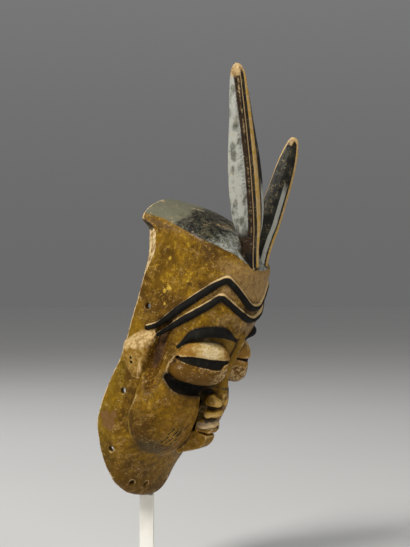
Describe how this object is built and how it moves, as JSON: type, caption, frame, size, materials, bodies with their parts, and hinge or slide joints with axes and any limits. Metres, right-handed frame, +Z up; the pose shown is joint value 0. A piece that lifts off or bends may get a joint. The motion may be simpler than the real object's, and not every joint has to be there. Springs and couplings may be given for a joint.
{
  "type": "carved face mask",
  "caption": "Carved wooden face mask with upright horns, ridged brow bands and a hollow back, held tilted forward by a square post on a round foot.",
  "frame": {"origin": "centre of the foot's underside", "axes": "+Z up; the mask looks along -Y and its own right side is at -X"},
  "size_m": [0.21, 0.2322, 0.6076],
  "materials": {
    "carved_wood": "worn paint and varnish over carved wood",
    "stand_paint": "satin off-white paint",
    "arm_steel": "satin"
  },
  "bodies": {
    "root": {"mask": "carved_wood", "stand_foot": "stand_paint", "stand_post": "stand_paint", "stand_arm": "arm_steel"}
  },
  "joints": []
}
